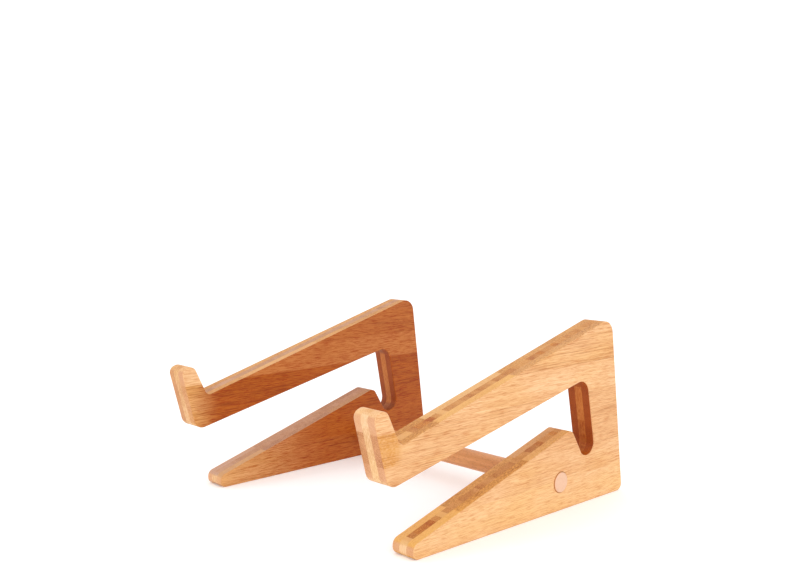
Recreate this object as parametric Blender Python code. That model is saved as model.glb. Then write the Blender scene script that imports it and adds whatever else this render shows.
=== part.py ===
# Two-way wooden laptop stand: two three-layer side panels pushed onto the ends of one round crossbar.
# Metres, +Z up, front towards -Y. The origin is on the desk, under the middle of the stand.
# A reach is measured forwards from the panel's lower back corner, and a height up from the desk.
# The corners are given where the straight edges would meet, before they are rounded.

import math

import bmesh
import bpy

# Width of the stand, over the outer faces of the two panels
STAND_WIDTH = 0.2400

# Layers of a panel, glued face to face
FACE_PLY = 0.0066
CORE_PLY = 0.0062
GLUE_LINE = 0.0003

# Upright back edge, leaning forwards as it rises
BACK_HEIGHT = 0.1397
BACK_LEAN = 0.0185

# Sloping arm, deeper at the back than at the front
ARM_REACH = 0.2534
ARM_END_HEIGHT = 0.0505
ARM_FRONT_DEPTH = 0.0264
ARM_BACK_DEPTH = 0.0439

# Hook at the front of the arm
HOOK_ROOT = 0.0104
HOOK_RISE = 0.0483
HOOK_OVERHANG = 0.0126
HOOK_TIP_WIDTH = 0.0108
HOOK_TIP_SLOPE = 0.0038

# Back post, between the back edge and the root of the gap
POST_TOP_WIDTH = 0.0364
POST_LOW_WIDTH = 0.0329

# Pocket at the foot of the gap's root
POCKET_HEIGHT = 0.0395
POCKET_WIDTH = 0.0136
POCKET_SLOPE = 0.0052

# Wedge foot
PEAK_SETBACK = 0.0152
PEAK_HEIGHT = 0.0592
FOOT_LENGTH = 0.2321
FOOT_TIP_HEIGHT = 0.0099

# Corner radii of the panel's outline
BACK_LOW_RADIUS = 0.0055
BACK_TOP_RADIUS = 0.0105
SEAT_RADIUS = 0.0050
HOOK_BACK_RADIUS = 0.0060
HOOK_NOSE_RADIUS = 0.0052
ARM_END_RADIUS = 0.0080
ROOT_RADIUS = 0.0100
POCKET_RADIUS = 0.0086
PEAK_RADIUS = 0.0060
FOOT_TOP_RADIUS = 0.0056
FOOT_LOW_RADIUS = 0.0048

# Rounding of the long edges, on the faces that the hand meets
EASED_EDGE = 0.0008

# Crossbar, and the hole that it is pushed through
BAR_DIAMETER = 0.0154
BAR_REACH = 0.0800
BAR_HEIGHT = 0.0215
BAR_CLEARANCE = 0.0003
BAR_PROUD = 0.0007
BAR_EASED_END = 0.0008

# How finely round shapes are cut up
ARC_STEP = math.radians(12)
BAR_SIDES = 48
EASE_SEGMENTS = 2

# How far a cutter runs past what it cuts
CUT_OVERRUN = 0.0020

# Shading turns sharp past this angle
SHARP_ANGLE = math.radians(30)


def clear_scene():
    for thing in list(bpy.data.objects):
        bpy.data.objects.remove(thing, do_unlink=True)


def wood(name, colour, roughness):
    material = bpy.data.materials.new(name)
    material.use_nodes = True
    shader = material.node_tree.nodes["Principled BSDF"]
    shader.inputs["Base Color"].default_value = (*colour, 1)
    shader.inputs["Roughness"].default_value = roughness
    shader.inputs["Metallic"].default_value = 0
    return material


def back_edge_reach(height):
    """Reach of the leaning back edge at a height."""
    return BACK_LEAN * height / BACK_HEIGHT


def panel_corners():
    """Corners of the panel's outline in order, each with its reach, height and radius."""
    seat_reach = ARM_REACH - HOOK_ROOT
    seat_height = ARM_END_HEIGHT + ARM_FRONT_DEPTH
    nose_reach = ARM_REACH + HOOK_OVERHANG
    nose_height = ARM_END_HEIGHT + HOOK_RISE
    hook_back_reach = nose_reach - HOOK_TIP_WIDTH
    hook_back_height = nose_height + HOOK_TIP_SLOPE
    root_height = BACK_HEIGHT - ARM_BACK_DEPTH
    root_reach = back_edge_reach(root_height) + POST_TOP_WIDTH
    pocket_back_reach = back_edge_reach(POCKET_HEIGHT) + POST_LOW_WIDTH
    pocket_front_reach = pocket_back_reach + POCKET_WIDTH
    pocket_front_height = POCKET_HEIGHT - POCKET_SLOPE
    peak_reach = pocket_front_reach + PEAK_SETBACK
    return [
        (0, 0, BACK_LOW_RADIUS),
        (BACK_LEAN, BACK_HEIGHT, BACK_TOP_RADIUS),
        (seat_reach, seat_height, SEAT_RADIUS),
        (hook_back_reach, hook_back_height, HOOK_BACK_RADIUS),
        (nose_reach, nose_height, HOOK_NOSE_RADIUS),
        (ARM_REACH, ARM_END_HEIGHT, ARM_END_RADIUS),
        (root_reach, root_height, ROOT_RADIUS),
        (pocket_back_reach, POCKET_HEIGHT, POCKET_RADIUS),
        (pocket_front_reach, pocket_front_height, POCKET_RADIUS),
        (peak_reach, PEAK_HEIGHT, PEAK_RADIUS),
        (FOOT_LENGTH, FOOT_TIP_HEIGHT, FOOT_TOP_RADIUS),
        (FOOT_LENGTH, 0, FOOT_LOW_RADIUS),
    ]


def rounded_corner(before, corner, after):
    """Points along the arc that replaces a corner, limited to half of each edge beside it."""
    reach, height, radius = corner
    to_before = (before[0] - reach, before[1] - height)
    to_after = (after[0] - reach, after[1] - height)
    length_before = math.hypot(*to_before)
    length_after = math.hypot(*to_after)
    unit_before = (to_before[0] / length_before, to_before[1] / length_before)
    unit_after = (to_after[0] / length_after, to_after[1] / length_after)
    cosine = unit_before[0] * unit_after[0] + unit_before[1] * unit_after[1]
    half_angle = math.acos(cosine) / 2
    tangent = min(radius / math.tan(half_angle), length_before / 2, length_after / 2)
    radius = tangent * math.tan(half_angle)
    middle = (unit_before[0] + unit_after[0], unit_before[1] + unit_after[1])
    to_centre = radius / math.sin(half_angle) / math.hypot(*middle)
    centre = (reach + middle[0] * to_centre, height + middle[1] * to_centre)
    start = (reach + unit_before[0] * tangent - centre[0], height + unit_before[1] * tangent - centre[1])
    end = (reach + unit_after[0] * tangent - centre[0], height + unit_after[1] * tangent - centre[1])
    start_angle = math.atan2(start[1], start[0])
    sweep = math.remainder(math.atan2(end[1], end[0]) - start_angle, math.tau)
    steps = max(2, math.ceil(abs(sweep) / ARC_STEP))
    angles = [start_angle + sweep * step / steps for step in range(steps + 1)]
    return [(centre[0] + radius * math.cos(a), centre[1] + radius * math.sin(a)) for a in angles]


def panel_outline():
    """The panel's outline, with every corner rounded, as reach and height."""
    corners = panel_corners()
    points = []
    for index, corner in enumerate(corners):
        after = corners[(index + 1) % len(corners)]
        points += rounded_corner(corners[index - 1], corner, after)
    return points


def finished_object(name, mesh, material, parent):
    mesh.materials.append(material)
    thing = bpy.data.objects.new(name, mesh)
    bpy.context.collection.objects.link(thing)
    thing.parent = parent
    return thing


def mesh_from(name, shape):
    shape.normal_update()
    bmesh.ops.recalc_face_normals(shape, faces=shape.faces)
    mesh = bpy.data.meshes.new(name)
    shape.to_mesh(mesh)
    shape.free()
    mesh.shade_smooth()
    mesh.set_sharp_from_angle(angle=SHARP_ANGLE)
    return mesh


def ply_mesh(name, outline, glued_x, free_x, is_face):
    """One layer, from its glued side to its free side. A face layer has its free edge eased."""
    shape = bmesh.new()
    rim = [shape.verts.new((glued_x, y, z)) for y, z in outline]
    glued_face = shape.faces.new(rim)
    grown = bmesh.ops.extrude_face_region(shape, geom=[glued_face], use_keep_orig=True)["geom"]
    free_verts = [part for part in grown if isinstance(part, bmesh.types.BMVert)]
    bmesh.ops.translate(shape, vec=(free_x - glued_x, 0, 0), verts=free_verts)
    if is_face:
        free_rim = [part for part in grown if isinstance(part, bmesh.types.BMEdge)]
        bmesh.ops.bevel(
            shape, geom=free_rim, affect="EDGES", offset=EASED_EDGE, offset_type="OFFSET",
            segments=EASE_SEGMENTS, profile=0.5, material=-1, clamp_overlap=False)
    return mesh_from(name, shape)


def round_bar(name, length, radius, eased_end):
    """A round bar along X, centred on the origin."""
    shape = bmesh.new()
    bmesh.ops.create_cone(
        shape, cap_ends=True, segments=BAR_SIDES, radius1=radius, radius2=radius, depth=length)
    if eased_end:
        ends = [edge for edge in shape.edges if edge.verts[0].co.z * edge.verts[1].co.z > 0]
        bmesh.ops.bevel(
            shape, geom=ends, affect="EDGES", offset=eased_end, offset_type="OFFSET",
            segments=EASE_SEGMENTS, profile=0.5, material=-1)
    for vert in shape.verts:
        vert.co = (vert.co.z, vert.co.x, vert.co.y)
    return mesh_from(name, shape)


def bore_cutter(panel_name, parent, panel_thickness):
    """The hole that the crossbar passes through. Its flats clear the bar, not only its corners."""
    bore_radius = (BAR_DIAMETER / 2 + BAR_CLEARANCE) / math.cos(math.pi / BAR_SIDES)
    name = panel_name + "_bore_cutter"
    mesh = round_bar(name, panel_thickness + 2 * CUT_OVERRUN, bore_radius, 0)
    cutter = bpy.data.objects.new(name, mesh)
    bpy.context.collection.objects.link(cutter)
    cutter.parent = parent
    cutter.hide_render = True
    cutter.display_type = "WIRE"
    return cutter


def side_panel(side_name, side, outline, bar_place, face_wood, core_wood):
    """One side panel. Its parent empty lies on the crossbar's axis, along which it pulls off."""
    panel_thickness = 2 * FACE_PLY + CORE_PLY + 2 * GLUE_LINE
    axis = bpy.data.objects.new(side_name + "_panel_axis", None)
    bpy.context.collection.objects.link(axis)
    axis.location = (side * (STAND_WIDTH - panel_thickness) / 2, *bar_place)
    cutter = bore_cutter(side_name, axis, panel_thickness)
    face_x = CORE_PLY / 2 + GLUE_LINE
    free_x = face_x + FACE_PLY
    layers = [
        ("outer", side * face_x, side * free_x, True, face_wood),
        ("core", -side * CORE_PLY / 2, side * CORE_PLY / 2, False, core_wood),
        ("inner", -side * face_x, -side * free_x, True, face_wood),
    ]
    for layer_name, from_x, to_x, is_face, material in layers:
        name = side_name + "_" + layer_name + "_ply"
        mesh = ply_mesh(name, outline, from_x, to_x, is_face)
        ply = finished_object(name, mesh, material, axis)
        bore = ply.modifiers.new("Bar hole", "BOOLEAN")
        bore.operation = "DIFFERENCE"
        bore.solver = "EXACT"
        bore.object = cutter


def crossbar(bar_place, material):
    """The round bar that joins the panels, its ends just proud of their outer faces."""
    length = STAND_WIDTH + 2 * BAR_PROUD
    mesh = round_bar("crossbar", length, BAR_DIAMETER / 2, BAR_EASED_END)
    bar = finished_object("crossbar", mesh, material, None)
    bar.location = (0, *bar_place)


def build_stand():
    face_wood = wood("bamboo_face", (0.83, 0.50, 0.24), 0.45)
    core_wood = wood("bamboo_core", (0.62, 0.33, 0.15), 0.50)
    bar_wood = wood("beech", (0.80, 0.50, 0.32), 0.50)

    points = panel_outline()
    reaches = [reach for reach, height in points]
    middle_reach = (min(reaches) + max(reaches)) / 2
    outline = [(BAR_REACH - reach, height - BAR_HEIGHT) for reach, height in points]
    bar_place = (middle_reach - BAR_REACH, BAR_HEIGHT)

    for side_name, side in (("left", -1), ("right", 1)):
        side_panel(side_name, side, outline, bar_place, face_wood, core_wood)
    crossbar(bar_place, bar_wood)


clear_scene()
build_stand()
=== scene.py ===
# Looks of a wooden laptop stand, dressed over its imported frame.
# Metres, +Z up, front towards -Y. The panels stand upright in the YZ plane, and the dowel lies along X.

import math
import random

import bmesh
import bpy
from mathutils import Matrix, Vector


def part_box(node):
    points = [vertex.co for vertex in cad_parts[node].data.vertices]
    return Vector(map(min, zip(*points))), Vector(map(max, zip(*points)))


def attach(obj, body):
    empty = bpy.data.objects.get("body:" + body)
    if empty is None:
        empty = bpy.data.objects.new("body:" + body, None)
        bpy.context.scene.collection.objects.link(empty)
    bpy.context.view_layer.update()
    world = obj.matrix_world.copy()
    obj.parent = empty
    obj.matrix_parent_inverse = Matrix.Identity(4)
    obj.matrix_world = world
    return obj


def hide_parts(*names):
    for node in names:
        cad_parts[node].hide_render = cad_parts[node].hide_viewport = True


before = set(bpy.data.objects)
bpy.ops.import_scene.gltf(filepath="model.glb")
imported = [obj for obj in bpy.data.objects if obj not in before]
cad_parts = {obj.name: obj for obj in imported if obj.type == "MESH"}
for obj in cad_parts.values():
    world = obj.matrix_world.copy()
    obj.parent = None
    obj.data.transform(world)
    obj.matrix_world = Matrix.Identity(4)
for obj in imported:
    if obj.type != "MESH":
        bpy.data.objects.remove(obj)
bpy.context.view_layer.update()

# Camera
# It stands to the front right of the object, a little above the arms, where the photograph was taken from.
# The small shift is the photograph's own crop.

camera_lens = bpy.data.cameras.new("camera")
camera_lens.lens = 44.63
camera_lens.shift_x = 0.0159
camera_lens.shift_y = 0.0201
camera = bpy.data.objects.new("camera", camera_lens)
camera.location = (0.5510, -0.5214, 0.2291)
camera.rotation_euler = (math.radians(83.820), math.radians(0.151), math.radians(47.420))
bpy.context.scene.collection.objects.link(camera)
bpy.context.scene.camera = camera

# Blank of a side panel
# Both panels are cut on a router to one outline, through all three of their layers at once.
# The dowel's hole is drilled through the foot, under the gap between arm and foot.

MM = 0.001
PANEL_CORNERS = [
    # y, z and corner radius in millimetres, where the straight edges would meet
    (132.85, 0.0, 5.5),
    (114.37, 139.64, 10.5),
    (-110.13, 76.9, 5.0),
    (-122.33, 102.6, 6.0),
    (-133.12, 98.8, 5.2),
    (-120.53, 50.5, 8.0),
    (83.78, 95.8, 10.0),
    (94.74, 39.5, 8.6),
    (81.14, 34.3, 8.6),
    (65.94, 59.2, 6.0),
    (-99.23, 9.9, 5.6),
    (-99.23, 0.0, 4.8),
]
ARC_STEP = math.radians(4)
HOLE_RADIUS = 7.95 * MM
HOLE_SIDES = 96
# The hole's rim is nearer to the dowel's axis than this, and the panel's outline further away
HOLE_RIM_REACH = 1.2 * HOLE_RADIUS
# Points nearer together than the first are one point, and a cut goes through points within the second of it
SAME_POINT = 0.01 * MM
ON_CUT = 0.02 * MM
# Edges sharper than the first are rims, to be eased, and edges blunter than the second are shaded smooth
RIM_ANGLE = math.radians(60)
SMOOTH_ANGLE = math.radians(30)
# How much of a face's normal lies along X: at least on a flat side, and at most on a cut edge
SIDE_NORMAL = 0.999
EDGE_NORMAL = 0.001
# A straight edge's face is longer round than this, and those of an arc are shorter
STRAIGHT_PERIMETER = 20 * MM
dowel_low, dowel_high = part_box("crossbar")
dowel_axis = (dowel_low + dowel_high) / 2


def panel_blank(x):
    """A bmesh with one flat side of the panel at that x, its corners rounded and the dowel's hole open."""
    shape = bmesh.new()
    corners = [Vector((x, y * MM, z * MM)) for y, z, radius in PANEL_CORNERS]
    arcs = []
    for index, corner in enumerate(corners):
        before = corners[index - 1] - corner
        after = corners[(index + 1) % len(corners)] - corner
        half_angle = before.angle(after) / 2
        radius = PANEL_CORNERS[index][2] * MM
        tangent = min(radius / math.tan(half_angle), before.length / 2, after.length / 2)
        inwards = (before.normalized() + after.normalized()).normalized()
        centre = corner + inwards * tangent / math.cos(half_angle)
        start = corner + before.normalized() * tangent
        end = corner + after.normalized() * tangent
        turn = math.pi - 2 * half_angle
        first = shape.verts.new(start)
        spun = bmesh.ops.spin(
            shape, geom=[first], cent=centre, axis=(start - centre).cross(end - centre).normalized(),
            angle=turn, steps=math.ceil(turn / ARC_STEP))
        arcs.append((first, spun["geom_last"][0]))
    for index, (first, last) in enumerate(arcs):
        shape.edges.new((arcs[index - 1][1], first))
    upright = Matrix.Rotation(math.radians(90), 4, "Y")
    bmesh.ops.create_circle(
        shape, radius=HOLE_RADIUS, segments=HOLE_SIDES,
        matrix=Matrix.Translation((x, dowel_axis.y, dowel_axis.z)) @ upright)
    bmesh.ops.remove_doubles(shape, verts=shape.verts, dist=SAME_POINT)
    bmesh.ops.triangle_fill(shape, use_beauty=True, edges=shape.edges)
    return shape


def thicken(shape, from_x, to_x):
    """Grows the flat side at from_x into a closed board up to to_x. Returns the edges round its far side."""
    grown = bmesh.ops.extrude_face_region(shape, geom=shape.faces[:], use_keep_orig=True)["geom"]
    far_verts = [part for part in grown if isinstance(part, bmesh.types.BMVert)]
    bmesh.ops.translate(shape, vec=(to_x - from_x, 0, 0), verts=far_verts)
    bmesh.ops.recalc_face_normals(shape, faces=shape.faces)
    far_edges = [part for part in grown if isinstance(part, bmesh.types.BMEdge)]
    return [edge for edge in far_edges if edge.calc_face_angle() > RIM_ANGLE]


def near_dowel(vert):
    return math.hypot(vert.co.y - dowel_axis.y, vert.co.z - dowel_axis.z) < HOLE_RIM_REACH


def smooth_rounds(shape):
    """Shades the arcs and eased edges smooth, and keeps the flat sides, straight edges and sharp corners."""
    for face in shape.faces:
        is_side = abs(face.normal.x) > SIDE_NORMAL
        is_straight_edge = abs(face.normal.x) < EDGE_NORMAL and face.calc_perimeter() > STRAIGHT_PERIMETER
        face.smooth = not (is_side or is_straight_edge)
    for edge in shape.edges:
        edge.smooth = edge.calc_face_angle() < SMOOTH_ANGLE


def cut_at_joints(shape, axis, first_joint, width):
    """Cuts the board's faces where its strips are glued edge to edge. Returns the number of strips."""
    along = Vector((0, 0, 0))
    along[axis] = 1
    far_end = max(vert.co[axis] for vert in shape.verts)
    joints = math.ceil((far_end - first_joint) / width)
    for index in range(joints):
        bmesh.ops.bisect_plane(
            shape, geom=shape.verts[:] + shape.edges[:] + shape.faces[:], dist=ON_CUT,
            plane_co=along * (first_joint + index * width), plane_no=along)
    bmesh.ops.remove_doubles(shape, verts=shape.verts, dist=SAME_POINT)
    return joints + 1


def mark_strips(shape, axis, first_joint, width, strips):
    """Writes each strip's looks on its faces, as attributes that the material reads."""
    for name in strips[0]:
        shape.faces.layers.float.new(name)
    for face in shape.faces:
        looks = strips[math.floor((face.calc_center_median()[axis] - first_joint) / width) + 1]
        for name, value in looks.items():
            face[shape.faces.layers.float[name]] = value


def finished_piece(name, shape, material, body, node):
    """Makes a piece of the shape. It moves with the body, and shows in the place of the CAD's node."""
    mesh = bpy.data.meshes.new(name)
    shape.to_mesh(mesh)
    shape.free()
    mesh.materials.append(material)
    piece = bpy.data.objects.new(name, mesh)
    bpy.context.scene.collection.objects.link(piece)
    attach(piece, body)
    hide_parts(node)


# Bamboo
# Carbonised bamboo, cut into flat strips, glued edge to edge, sanded and given a thin satin lacquer.
# It shows short fine dark dashes along the fibres, and a mottled knuckle across a strip here and there.


def linear(hex_colour):
    """An sRGB hex colour as the linear values that a shader takes."""
    shares = [int(hex_colour[place:place + 2], 16) / 255 for place in (1, 3, 5)]
    return (*[share / 12.92 if share <= 0.04045 else ((share + 0.055) / 1.055) ** 2.4 for share in shares], 1)


def add_node(material, kind, inputs, output=0, **settings):
    """Adds one node with its settings, and sets or links its inputs. Returns one of its outputs."""
    node = material.node_tree.nodes.new(kind)
    for name, value in settings.items():
        setattr(node, name, value)
    for name, value in inputs.items():
        if isinstance(value, bpy.types.NodeSocket):
            material.node_tree.links.new(value, node.inputs[name])
        else:
            node.inputs[name].default_value = value
    return node.outputs[output]


# Patterns in the wood: a width across the fibres and a length along them. The dark dashes are cut vessels
# in their bundles, about 0.3 mm across in real bamboo, and just show. The bundles are really 0.4 mm and
# a knuckle's mottles 0.5 mm across, too fine to show from the camera, so both are drawn coarser.
DASH_WIDTH = 0.32 * MM
DASH_LENGTH = 9 * MM
BUNDLE_WIDTH = 0.55 * MM
BUNDLE_LENGTH = 32 * MM
MOTTLE_WIDTH = 1.1 * MM
MOTTLE_LENGTH = 1.7 * MM
# Dashes lie closer in clusters, a strip has broad bands of deeper tone, and its fibres run in long low waves
CLUSTER_WIDTH = 8 * MM
CLUSTER_LENGTH = 40 * MM
BAND_WIDTH = 9 * MM
BAND_LENGTH = 80 * MM
WAVE_WIDTH = 22 * MM
WAVE_LENGTH = 60 * MM
WAVE_HEIGHT = 0.5 * MM
PATTERN_ROUGHNESS = 0.55
# Each strip takes its pattern from another place, at most this far away in pattern widths
SEED_REACH = 90.0
# How far noise strays from its middle, which is half
NOISE_LOW = 0.32
NOISE_HIGH = 0.68
# How much bands and bundles change a strip's shade, and how much its warmth drifts along it
BAND_STRENGTH = 0.11
BUNDLE_STRENGTH = 0.26
HUE_DRIFT = 0.3
# The noise at which a dash starts and is full, and how strong dashes are outside clusters, on cut edges and
# where shadow is painted on the flat side
DASH_STARTS = 0.49
DASH_FULL = 0.62
DASH_OUTSIDE_CLUSTERS = 0.8
DASH_ON_EDGES = 0.3
DASH_IN_PAINTED_SHADOW = 2.2
# A knuckle is whole up to its core's end and fades out at its reach, and its mottles never fade quite out
KNUCKLE_CORE = 7 * MM
KNUCKLE_REACH = 14 * MM
MOTTLE_STARTS = 0.35
MOTTLE_FULL = 0.65
MOTTLE_LEAST = 0.45
# How far a surface is turned towards an axis where a look that belongs there starts, and where it is whole
SIDE_STARTS = 0.15
SIDE_WHOLE = 0.5
END_STARTS = 0.75
END_WHOLE = 0.96
# For tops, this is where the painted shade on the top edges starts and where it is whole
TOP_STARTS = 0.3
TOP_WHOLE = 0.65
# Tints that the strip's colour is multiplied by
WARM_TINT = "#FDF8DA"
DASH_TINT = "#DBA878"
KNUCKLE_TINT = "#EDD5A4"
# Painted shadow on the flat inner sides
PAINTED_SHADOW_TINT = "#C88C46"
# Painted shade on the top edges behind the hook, from a grey that paints a cool reflection too, to an ochre
GREY_PAINTED_TOP_SHADE = "#D8D0EA"
OCHRE_PAINTED_TOP_SHADE = "#FFF2B2"
# Thin satin lacquer: its gloss, and the open dashes in it, rougher and a little sunk
LACQUER_IOR = 1.5
LACQUER_SPECULAR = 0.2
LACQUER_ROUGHNESS = 0.45
OPEN_ROUGHNESS = 0.6
OPEN_STARTS = 0.4
OPEN_WHOLE = 0.7
OPEN_DEPTH = 0.06 * MM
OPEN_BUMP = 0.25
# What the material knows about a strip, with the values of a plain one. Shades go from 0, pale, to 1, deep,
# and warmth from pink to yellow. The cut top edges behind the hook get painted shade, from grey, 0, whose
# cool cast paints a reflection too, to ochre, 1. A painted shadow on the flat side shows as strongly as its
# strength says, and comes on between its two places along Y. A knuckle lies at a place along the fibres,
# which is far off the board where there is none.
NO_KNUCKLE = 1.0
PLAIN_STRIP = {
    "shade": 0.45, "edge_shade": 0.55, "warmth": 0.4, "ochre": 0.6, "painted_shadow": 0.0, "painted_shadow_from": -125 * MM,
    "painted_shadow_to": 15 * MM, "knuckle": NO_KNUCKLE}
# The painted shade on the top edges comes on between these, so the hook's own top stays as pale as its front
HOOK_BACK = -121 * MM
ARM_FRONT = -117 * MM
# The gap's root, where shade is painted in the recess: where the painted shade comes on and ends along Y,
# its middle height, half its height, and the strip shade it evens the face layers out to
ROOT_FRONT = 60 * MM
ROOT_DEEP = 80 * MM
ROOT_BACK = 105 * MM
ROOT_HEIGHT = 65 * MM
ROOT_REACH = 35 * MM
ROOT_SHADE = 0.5


# The last tint that bamboo takes paints shade at the gap's root
def bamboo(name, fibre_axis, colours, dash_strength, end_tint, painted_root_shade_tint):
    """Bamboo with its fibres along one axis of the panel: 1 is Y, front to back, and 2 is Z, upright."""
    material = bpy.data.materials.new(name)
    material.use_nodes = True
    shader = material.node_tree.nodes["Principled BSDF"]
    place = add_node(material, "ShaderNodeTexCoord", {}, output="Object")
    normal = add_node(material, "ShaderNodeTexCoord", {}, output="Normal")
    strip = {
        looks: add_node(material, "ShaderNodeAttribute", {}, output="Fac", attribute_name=looks)
        for looks in (*PLAIN_STRIP, "seed")}
    apart = add_node(material, "ShaderNodeMath", {0: strip["seed"], 1: SEED_REACH}, operation="MULTIPLY")

    # How far the surface is turned towards each axis, whichever way it faces
    facing = add_node(material, "ShaderNodeVectorMath", {0: normal}, operation="ABSOLUTE")
    turned = [add_node(material, "ShaderNodeSeparateXYZ", {0: facing}, output=axis) for axis in range(3)]
    on_side = add_node(
        material, "ShaderNodeMapRange", {"Value": turned[0], "From Min": SIDE_STARTS, "From Max": SIDE_WHOLE},
        interpolation_type="SMOOTHSTEP")
    on_end = add_node(
        material, "ShaderNodeMapRange", {
            "Value": turned[fibre_axis], "From Min": END_STARTS, "From Max": END_WHOLE},
        interpolation_type="SMOOTHSTEP")
    # Painted shade on the tops of the cut edges behind the hook
    painted_top_shade = add_node(
        material, "ShaderNodeMapRange", {"Value": turned[2], "From Min": TOP_STARTS, "From Max": TOP_WHOLE},
        interpolation_type="SMOOTHSTEP")
    cut_edge = add_node(material, "ShaderNodeMath", {0: 1.0, 1: on_side}, operation="SUBTRACT")
    depth = add_node(material, "ShaderNodeSeparateXYZ", {0: place}, output="Y")
    behind_hook = add_node(
        material, "ShaderNodeMapRange", {"Value": depth, "From Min": HOOK_BACK, "From Max": ARM_FRONT},
        interpolation_type="SMOOTHSTEP")
    for share in (cut_edge, behind_hook):
        painted_top_shade = add_node(material, "ShaderNodeMath", {0: painted_top_shade, 1: share}, operation="MULTIPLY")

    # The fibres wander a little from side to side as they go, and every strip has its own. Each pattern has
    # its width, its length and how much finer detail it holds.
    grain = {}
    patterns = {
        "wave": (WAVE_WIDTH, WAVE_LENGTH, 1.0), "bands": (BAND_WIDTH, BAND_LENGTH, 2.0),
        "clusters": (CLUSTER_WIDTH, CLUSTER_LENGTH, 1.0), "bundles": (BUNDLE_WIDTH, BUNDLE_LENGTH, 2.0),
        "dashes": (DASH_WIDTH, DASH_LENGTH, 2.0), "mottles": (MOTTLE_WIDTH, MOTTLE_LENGTH, 3.0)}
    wander = [WAVE_HEIGHT, WAVE_HEIGHT, WAVE_HEIGHT]
    wander[fibre_axis] = 0
    source = place
    for pattern, (width, length, detail) in patterns.items():
        density = [1 / width, 1 / width, 1 / width]
        density[fibre_axis] = 1 / length
        spread = add_node(
            material, "ShaderNodeMapping", {"Vector": source, "Location": apart, "Scale": density})
        grain[pattern] = add_node(
            material, "ShaderNodeTexNoise", {
                "Vector": spread, "Scale": 1.0, "Detail": detail, "Roughness": PATTERN_ROUGHNESS})
        if pattern == "wave":
            source = add_node(
                material, "ShaderNodeVectorMath", {0: grain["wave"], 1: wander, 2: place},
                operation="MULTIPLY_ADD")

    # Painted shade on the cut walls in the recess at the gap's root, between arm and foot
    height = add_node(material, "ShaderNodeSeparateXYZ", {0: place}, output="Z")
    painted_root_shade = add_node(
        material, "ShaderNodeMapRange", {"Value": depth, "From Min": ROOT_FRONT, "From Max": ROOT_DEEP},
        interpolation_type="SMOOTHSTEP")
    at_root = add_node(
        material, "ShaderNodeMath", {0: height, 1: ROOT_HEIGHT, 2: ROOT_REACH}, operation="COMPARE")
    before_back = add_node(material, "ShaderNodeMath", {0: depth, 1: ROOT_BACK}, operation="LESS_THAN")
    for share in (at_root, before_back, cut_edge):
        painted_root_shade = add_node(material, "ShaderNodeMath", {0: painted_root_shade, 1: share}, operation="MULTIPLY")

    # The strip's own shade, with broad bands and narrow bundles in it
    shade = add_node(
        material, "ShaderNodeMix", {0: on_side, 2: strip["edge_shade"], 3: strip["shade"]},
        data_type="FLOAT")
    # Under the painted shade at the gap's root, the face layers' strips are evened out to one tone
    if fibre_axis == 1:
        shade = add_node(
            material, "ShaderNodeMix", {0: painted_root_shade, 2: shade, 3: ROOT_SHADE}, data_type="FLOAT")
    for pattern, strength in (("bands", BAND_STRENGTH), ("bundles", BUNDLE_STRENGTH)):
        change = add_node(
            material, "ShaderNodeMapRange", {
                "Value": grain[pattern], "From Min": NOISE_LOW, "From Max": NOISE_HIGH,
                "To Min": -strength, "To Max": strength})
        shade = add_node(material, "ShaderNodeMath", {0: shade, 1: change}, operation="ADD")
    ramp = material.node_tree.nodes.new("ShaderNodeValToRGB")
    material.node_tree.links.new(shade, ramp.inputs["Fac"])
    for index, hex_colour in enumerate(colours):
        if 0 < index < len(colours) - 1:
            ramp.color_ramp.elements.new(index / (len(colours) - 1))
        ramp.color_ramp.elements[index].color = linear(hex_colour)
    colour = ramp.outputs["Color"]

    # Dark dashes are the cut vessels, and a knuckle is where they tangle across the whole strip
    dash = add_node(
        material, "ShaderNodeMapRange", {
            "Value": grain["dashes"], "From Min": DASH_STARTS, "From Max": DASH_FULL,
            "To Max": dash_strength},
        interpolation_type="SMOOTHSTEP")
    dense = add_node(
        material, "ShaderNodeMapRange", {
            "Value": grain["clusters"], "From Min": NOISE_LOW, "From Max": NOISE_HIGH,
            "To Min": DASH_OUTSIDE_CLUSTERS},
        interpolation_type="SMOOTHSTEP")
    along = add_node(material, "ShaderNodeSeparateXYZ", {0: source}, output=fibre_axis)
    away = add_node(material, "ShaderNodeMath", {0: along, 1: strip["knuckle"]}, operation="SUBTRACT")
    away = add_node(material, "ShaderNodeMath", {0: away}, operation="ABSOLUTE")
    at_knuckle = add_node(
        material, "ShaderNodeMapRange", {
            "Value": away, "From Min": KNUCKLE_CORE, "From Max": KNUCKLE_REACH, "To Min": 1.0,
            "To Max": 0.0},
        interpolation_type="SMOOTHSTEP")
    mottle = add_node(
        material, "ShaderNodeMapRange", {
            "Value": grain["mottles"], "From Min": MOTTLE_STARTS, "From Max": MOTTLE_FULL,
            "To Min": MOTTLE_LEAST},
        interpolation_type="SMOOTHSTEP")
    at_knuckle = add_node(material, "ShaderNodeMath", {0: at_knuckle, 1: on_side}, operation="MULTIPLY")
    tangled = add_node(material, "ShaderNodeMath", {0: at_knuckle, 1: mottle}, operation="MULTIPLY")
    straight = add_node(material, "ShaderNodeMath", {0: 1.0, 1: at_knuckle}, operation="SUBTRACT")
    on_face = add_node(material, "ShaderNodeMapRange", {"Value": on_side, "To Min": DASH_ON_EDGES})
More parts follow.
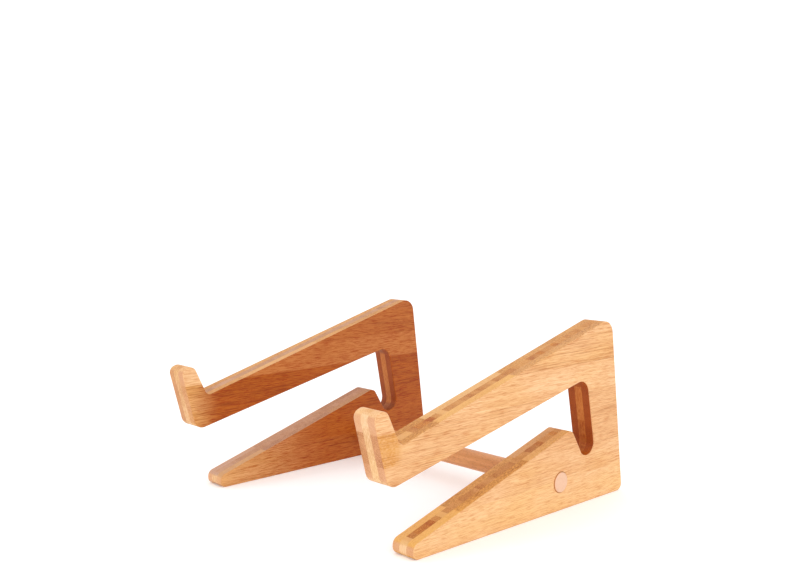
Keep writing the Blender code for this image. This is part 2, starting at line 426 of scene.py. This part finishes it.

    # The strips' own hue drifts along them too; some get painted shadow on the flat side, with denser dashes
    drift = add_node(
        material, "ShaderNodeMapRange", {
            "Value": grain["wave"], "From Min": NOISE_LOW, "From Max": NOISE_HIGH, "To Min": -HUE_DRIFT,
            "To Max": HUE_DRIFT})
    warmth = add_node(
        material, "ShaderNodeMath", {0: strip["warmth"], 1: drift}, operation="ADD", use_clamp=True)
    towards_back = add_node(
        material, "ShaderNodeMapRange", {
            "Value": depth, "From Min": strip["painted_shadow_from"], "From Max": strip["painted_shadow_to"]},
        interpolation_type="SMOOTHSTEP")
    painted_shadow_mask = add_node(material, "ShaderNodeMath", {0: on_side, 1: strip["painted_shadow"]}, operation="MULTIPLY")
    painted_shadow_mask = add_node(material, "ShaderNodeMath", {0: painted_shadow_mask, 1: towards_back}, operation="MULTIPLY")
    dash_gain_in_painted_shadow = add_node(
        material, "ShaderNodeMapRange", {"Value": painted_shadow_mask, "To Min": 1.0, "To Max": DASH_IN_PAINTED_SHADOW})
    for share in (dense, straight, on_face, dash_gain_in_painted_shadow):
        dash = add_node(material, "ShaderNodeMath", {0: dash, 1: share}, operation="MULTIPLY")
    # The last three tints paint shade: on the top edges behind the hook, at the gap's root, and on the inner
    # sides
    painted_top_shade_tint = add_node(
        material, "ShaderNodeMix", {
            0: strip["ochre"], 6: linear(GREY_PAINTED_TOP_SHADE), 7: linear(OCHRE_PAINTED_TOP_SHADE)},
        output=2, data_type="RGBA")
    for factor, tint in (
            (warmth, linear(WARM_TINT)), (dash, linear(DASH_TINT)), (tangled, linear(KNUCKLE_TINT)),
            (on_end, linear(end_tint)), (painted_top_shade, painted_top_shade_tint), (painted_root_shade, linear(painted_root_shade_tint)),
            (painted_shadow_mask, linear(PAINTED_SHADOW_TINT))):
        colour = add_node(
            material, "ShaderNodeMix", {0: factor, 6: colour, 7: tint}, output=2,
            data_type="RGBA", blend_type="MULTIPLY")
    material.node_tree.links.new(colour, shader.inputs["Base Color"])

    # Satin lacquer over the sanded grain, a little rougher over the open dashes
    roughness = add_node(
        material, "ShaderNodeMapRange", {
            "Value": grain["dashes"], "From Min": OPEN_STARTS, "From Max": OPEN_WHOLE,
            "To Min": LACQUER_ROUGHNESS, "To Max": OPEN_ROUGHNESS})
    material.node_tree.links.new(roughness, shader.inputs["Roughness"])
    bump = add_node(
        material, "ShaderNodeBump", {
            "Strength": OPEN_BUMP, "Distance": OPEN_DEPTH, "Height": grain["dashes"]})
    material.node_tree.links.new(bump, shader.inputs["Normal"])
    shader.inputs["IOR"].default_value = LACQUER_IOR
    shader.inputs["Specular IOR Level"].default_value = LACQUER_SPECULAR
    return material


# Face layers
# Each panel has an outer and an inner layer of flat bamboo strips, about 21 mm wide, laid front to back
# and glued over the core. Their free edges are rounded over by hand sanding after the routing.

PANEL_THICKNESS = 20.0 * MM
CORE_THICKNESS = 6.5 * MM
EASED_EDGE = 0.8 * MM
EASED_EDGE_STEPS = 4
EASED_HOLE = 0.3 * MM
EASED_HOLE_STEPS = 2
FACE_STRIP_WIDTH = 21.2 * MM
FACE_FIRST_JOINT = 23.0 * MM
STRIP_CHANCE_SEED = 11

# Its last tint paints shade at the gap's root
face_bamboo = bamboo(
    "lacquered_bamboo_long_grain", 1, ("#EFC494", "#E0AB76", "#A86630"), dash_strength=0.65,
    end_tint="#F0E2E8", painted_root_shade_tint="#C68951")
# How each strip departs from a plain one, from the foot upwards; the inner layers get painted shadow
# Painted shadow on an arm's inner side, coming on from the hook's front backwards
arm_painted_shadow = {"painted_shadow": 1.0, "painted_shadow_from": -132 * MM, "painted_shadow_to": -97 * MM}
face_layers = {
    "left_outer": [
        {"edge_shade": 0.16, "ochre": 0.0}, {"edge_shade": 0.44, "ochre": 0.0},
        {"edge_shade": 0.60, "ochre": 0.0, "knuckle": 40 * MM}, {"edge_shade": 0.58},
        {"shade": 0.35, "edge_shade": 0.54}, {"warmth": 0.3}, {}],
    "left_inner": [
        {"shade": 0.46, "edge_shade": 0.15, "ochre": 0.22, "warmth": 0.6, "painted_shadow": 0.95},
        {"edge_shade": 0.58, "ochre": 0.0, "warmth": 0.2, "painted_shadow": 1.0},
        {"shade": 0.50, "edge_shade": 0.50, "ochre": 0.0, "warmth": 1.0, **arm_painted_shadow},
        {"shade": 0.56, "edge_shade": 0.46, "warmth": 0.8, **arm_painted_shadow},
        {"shade": 0.10, "edge_shade": 0.38, "warmth": 0.0, "painted_shadow": 0.9,
         "painted_shadow_from": -110 * MM, "painted_shadow_to": -70 * MM},
        {"warmth": 0.6, "painted_shadow": 0.9}, {"painted_shadow": 0.9}],
    "right_inner": [
        {"edge_shade": 0.20, "ochre": 0.8, "warmth": 0.3, "painted_shadow": 1.0},
        {"edge_shade": 0.56, "ochre": 0.7, "painted_shadow": 1.0, "knuckle": 10 * MM},
        {"edge_shade": 0.42, "ochre": 0.5, "warmth": 0.0, **arm_painted_shadow},
        {"edge_shade": 0.66, "ochre": 0.8, **arm_painted_shadow},
        {"shade": 0.32, "edge_shade": 0.12, "warmth": 0.0, "painted_shadow": 0.9,
         "painted_shadow_from": -110 * MM, "painted_shadow_to": -70 * MM},
        {"warmth": 0.6, "painted_shadow": 0.9}, {"painted_shadow": 0.9}],
    "right_outer": [
        {"shade": 0.12, "edge_shade": 0.20, "ochre": 0.9, "warmth": 0.4},
        {"shade": 0.33, "edge_shade": 0.70, "ochre": 1.0, "warmth": 0.25},
        {"shade": 0.47, "edge_shade": 0.44, "ochre": 0.8, "warmth": 0.0},
        {"shade": 0.45, "edge_shade": 0.64, "ochre": 0.8, "warmth": 0.1, "knuckle": -122 * MM},
        {"shade": 0.26, "edge_shade": 0.30, "ochre": 0.8, "warmth": 0.0},
        {"shade": 0.52, "warmth": 0.25}, {"shade": 0.40, "warmth": 0.0}],
}
chance = random.Random(STRIP_CHANCE_SEED)
for layer_name, strips in face_layers.items():
    panel_side, facing_side = layer_name.split("_")
    outwards = 1 if panel_side == "right" else -1
    facing_x = outwards if facing_side == "outer" else -outwards
    panel_low, panel_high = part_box(panel_side + "_core_ply")
    panel_x = (panel_low.x + panel_high.x) / 2
    glued_x = panel_x + facing_x * CORE_THICKNESS / 2
    free_x = panel_x + facing_x * PANEL_THICKNESS / 2
    board = panel_blank(glued_x)
    rim = thicken(board, glued_x, free_x)
    hole_rim = [edge for edge in rim if near_dowel(edge.verts[0])]
    outer_rim = [edge for edge in rim if not near_dowel(edge.verts[0])]
    bmesh.ops.bevel(
        board, geom=outer_rim, affect="EDGES", offset=EASED_EDGE, offset_type="OFFSET",
        segments=EASED_EDGE_STEPS, profile=0.5, material=-1)
    bmesh.ops.bevel(
        board, geom=hole_rim, affect="EDGES", offset=EASED_HOLE, offset_type="OFFSET",
        segments=EASED_HOLE_STEPS, profile=0.5, material=-1)
    board.normal_update()
    smooth_rounds(board)
    cut_at_joints(board, 2, FACE_FIRST_JOINT, FACE_STRIP_WIDTH)
    mark_strips(
        board, 2, FACE_FIRST_JOINT, FACE_STRIP_WIDTH,
        [{**PLAIN_STRIP, **departures, "seed": chance.random()} for departures in strips])
    finished_piece(
        layer_name + "_layer", board, face_bamboo, panel_side + "_panel", layer_name + "_ply")

# Core layers
# The middle of each panel is glued up from narrow upright bamboo strips in mixed light and dark lots.
# Their ends show as small blocks along the top of the foot, and their sides as a band up the hook.

CORE_STRIP_WIDTH = 5.4 * MM
CORE_FIRST_JOINT = -130.8 * MM

# Its last tint paints shade at the gap's root
core_bamboo = bamboo(
    "lacquered_bamboo_upright_strips", 2, ("#F0C89C", "#D59F68", "#A2510D"), dash_strength=0.3,
    end_tint="#FBEFDC", painted_root_shade_tint="#DFAC78")
# The strips of a panel have chance shades and warmths in these ranges. Chosen are the shades of those that
# stand out, counted from the front of the hook backwards.
core_layers = {
    "left": {
        "shades": (0.24, 0.36), "warmths": (0.0, 0.1), "ochre": 0.0,
        "chosen": {0: 0.34, 1: 0.46, 2: 0.32, 7: 0.12, 8: 0.08, 9: 0.10, 10: 0.18}},
    "right": {
        "shades": (0.40, 0.56), "warmths": (0.0, 0.3), "ochre": 0.62,
        "chosen": {
            0: 0.16, 1: 0.28, 2: 0.10, 6: 0.02, 7: 0.02, 8: 0.66, 9: 0.80, 10: 0.72, 11: 0.92, 13: 0.02,
            14: 0.50, 15: 0.44, 16: 0.44, 17: 0.58, 18: 0.66, 19: 0.46, 20: 0.66, 22: 0.40, 23: 0.60,
            24: 0.56, 25: 0.56, 26: 0.60, 27: 0.42, 28: 0.42, 30: 0.70, 31: 0.64, 32: 0.74, 35: 0.72,
            40: 0.65, 41: 0.38, 42: 0.56}},
}
# A strip deeper than this is of the darkest lot, whose cut ends get the most ochre painted shade
DEEP = 0.7
for panel_side, lot in core_layers.items():
    panel_low, panel_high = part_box(panel_side + "_core_ply")
    panel_x = (panel_low.x + panel_high.x) / 2
    core = panel_blank(panel_x - CORE_THICKNESS / 2)
    thicken(core, panel_x - CORE_THICKNESS / 2, panel_x + CORE_THICKNESS / 2)
    core.normal_update()
    smooth_rounds(core)
    strip_count = cut_at_joints(core, 1, CORE_FIRST_JOINT, CORE_STRIP_WIDTH)
    strips = []
    for index in range(strip_count):
        shade = lot["chosen"].get(index, chance.uniform(*lot["shades"]))
        strips.append({
            **PLAIN_STRIP, "shade": shade, "edge_shade": shade, "warmth": chance.uniform(*lot["warmths"]),
            "ochre": 1.0 if shade > DEEP else lot["ochre"], "seed": chance.random()})
    mark_strips(core, 1, CORE_FIRST_JOINT, CORE_STRIP_WIDTH, strips)
    finished_piece(
        panel_side + "_core_layer", core, core_bamboo, panel_side + "_panel", panel_side + "_core_ply")

# Dowel
# A plain turned beech rod, sanded and lacquered, pushed by hand through both panels until its ends stand
# just proud of them. Its sides show short brown flecks, and its ends pale pink end grain.

DOWEL_SIDES = 96
DOWEL_EASED_END = 0.8 * MM
DOWEL_EASED_STEPS = 5
# Beech rays are 0.1 mm across and its pores finer still, so both are drawn coarser
FLECK_WIDTH = 0.5 * MM
FLECK_LENGTH = 2.6 * MM
PORE_SIZE = 0.7 * MM
RING_WIDTH = 4 * MM
RING_LENGTH = 50 * MM
BEECH_DETAIL = 2.0
# The noise at which a fleck starts and is whole, how strong it is, and how far it stands out
FLECK_STARTS = 0.54
FLECK_WHOLE = 0.66
FLECK_STRENGTH = 0.6
FLECK_DEPTH = 0.05 * MM
FLECK_BUMP = 0.2
# How far a surface is turned towards X where end grain starts and where it is whole
BEECH_END_STARTS = 0.5
BEECH_END_WHOLE = 0.9
BEECH_ROUGHNESS = 0.42
PALE_BEECH = "#DA965C"
DEEP_BEECH = "#CA8449"
FLECK_BROWN = "#9C6035"
PALE_END = "#EBC3A4"
DEEP_END = "#D9A888"

beech = bpy.data.materials.new("lacquered_beech")
beech.use_nodes = True
beech_shader = beech.node_tree.nodes["Principled BSDF"]
beech_place = add_node(beech, "ShaderNodeTexCoord", {}, output="Object")
beech_normal = add_node(beech, "ShaderNodeTexCoord", {}, output="Normal")
beech_grain = {}
for pattern, (width, length) in {
        "rings": (RING_WIDTH, RING_LENGTH), "flecks": (FLECK_WIDTH, FLECK_LENGTH),
        "pores": (PORE_SIZE, PORE_SIZE)}.items():
    spread = add_node(
        beech, "ShaderNodeMapping", {"Vector": beech_place, "Scale": (1 / length, 1 / width, 1 / width)})
    beech_grain[pattern] = add_node(
        beech, "ShaderNodeTexNoise", {
            "Vector": spread, "Scale": 1.0, "Detail": BEECH_DETAIL, "Roughness": PATTERN_ROUGHNESS})
rings = add_node(
    beech, "ShaderNodeMapRange", {
        "Value": beech_grain["rings"], "From Min": NOISE_LOW, "From Max": NOISE_HIGH},
    interpolation_type="SMOOTHSTEP")
beech_sides = add_node(
    beech, "ShaderNodeMix", {0: rings, 6: linear(PALE_BEECH), 7: linear(DEEP_BEECH)}, output=2,
    data_type="RGBA")
flecks = add_node(
    beech, "ShaderNodeMapRange", {
        "Value": beech_grain["flecks"], "From Min": FLECK_STARTS, "From Max": FLECK_WHOLE,
        "To Max": FLECK_STRENGTH},
    interpolation_type="SMOOTHSTEP")
beech_sides = add_node(
    beech, "ShaderNodeMix", {0: flecks, 6: beech_sides, 7: linear(FLECK_BROWN)}, output=2,
    data_type="RGBA")
beech_ends = add_node(
    beech, "ShaderNodeMix", {0: beech_grain["pores"], 6: linear(PALE_END), 7: linear(DEEP_END)}, output=2,
    data_type="RGBA")
beech_facing = add_node(beech, "ShaderNodeVectorMath", {0: beech_normal}, operation="ABSOLUTE")
beech_along = add_node(beech, "ShaderNodeSeparateXYZ", {0: beech_facing}, output="X")
beech_end = add_node(
    beech, "ShaderNodeMapRange", {
        "Value": beech_along, "From Min": BEECH_END_STARTS, "From Max": BEECH_END_WHOLE},
    interpolation_type="SMOOTHSTEP")
beech_colour = add_node(
    beech, "ShaderNodeMix", {0: beech_end, 6: beech_sides, 7: beech_ends}, output=2, data_type="RGBA")
beech.node_tree.links.new(beech_colour, beech_shader.inputs["Base Color"])
beech_bump = add_node(
    beech, "ShaderNodeBump", {
        "Strength": FLECK_BUMP, "Distance": FLECK_DEPTH, "Height": beech_grain["flecks"]})
beech.node_tree.links.new(beech_bump, beech_shader.inputs["Normal"])
beech_shader.inputs["Roughness"].default_value = BEECH_ROUGHNESS
beech_shader.inputs["IOR"].default_value = LACQUER_IOR

dowel = bmesh.new()
bmesh.ops.create_cone(
    dowel, cap_ends=True, segments=DOWEL_SIDES, depth=dowel_high.x - dowel_low.x,
    radius1=(dowel_high.z - dowel_low.z) / 2, radius2=(dowel_high.z - dowel_low.z) / 2,
    matrix=Matrix.Translation(dowel_axis) @ Matrix.Rotation(math.radians(90), 4, "Y"))
end_rims = [edge for edge in dowel.edges if edge.calc_face_angle() > RIM_ANGLE]
bmesh.ops.bevel(
    dowel, geom=end_rims, affect="EDGES", offset=DOWEL_EASED_END, offset_type="OFFSET",
    segments=DOWEL_EASED_STEPS, profile=0.5, material=-1)
dowel.normal_update()
for face in dowel.faces:
    face.smooth = abs(face.normal.x) < SIDE_NORMAL
finished_piece("dowel", dowel, beech, "crossbar", "crossbar")

# Studio
# A white floor, lit faintly from below, that runs to the horizon, a white sky all round, and a large soft
# light from the front right.

FLOOR_SIDE = 60.0
FLOOR_GLOW = 0.12
FLOOR_ROUGHNESS = 0.9
SKY_STRENGTH = 1.16
KEY_PLACE = Vector((1.3, -0.5, 0.9))
KEY_SIDE = 1.2
KEY_POWER = 2.5

floor_paint = bpy.data.materials.new("floor_paint")
floor_paint.use_nodes = True
floor_shader = floor_paint.node_tree.nodes["Principled BSDF"]
floor_shader.inputs["Base Color"].default_value = linear("#FAFAFA")
floor_shader.inputs["Emission Color"].default_value = linear("#FFFFFF")
floor_shader.inputs["Emission Strength"].default_value = FLOOR_GLOW
floor_shader.inputs["Roughness"].default_value = FLOOR_ROUGHNESS
floor_shape = bmesh.new()
bmesh.ops.create_grid(floor_shape, x_segments=1, y_segments=1, size=FLOOR_SIDE / 2)
floor_mesh = bpy.data.meshes.new("floor")
floor_shape.to_mesh(floor_mesh)
floor_shape.free()
floor_mesh.materials.append(floor_paint)
floor = bpy.data.objects.new("floor", floor_mesh)
bpy.context.scene.collection.objects.link(floor)

world = bpy.data.worlds.new("white_studio")
world.use_nodes = True
world.node_tree.nodes["Background"].inputs["Color"].default_value = linear("#FFFFFF")
world.node_tree.nodes["Background"].inputs["Strength"].default_value = SKY_STRENGTH
bpy.context.scene.world = world
bpy.context.scene.view_settings.view_transform = "Standard"

key_light = bpy.data.lights.new("key_light", "AREA")
key_light.shape = "SQUARE"
key_light.size = KEY_SIDE
key_light.energy = KEY_POWER
key = bpy.data.objects.new("key_light", key_light)
key.location = KEY_PLACE
key.rotation_euler = (-KEY_PLACE).to_track_quat("-Z", "Y").to_euler()
bpy.context.scene.collection.objects.link(key)
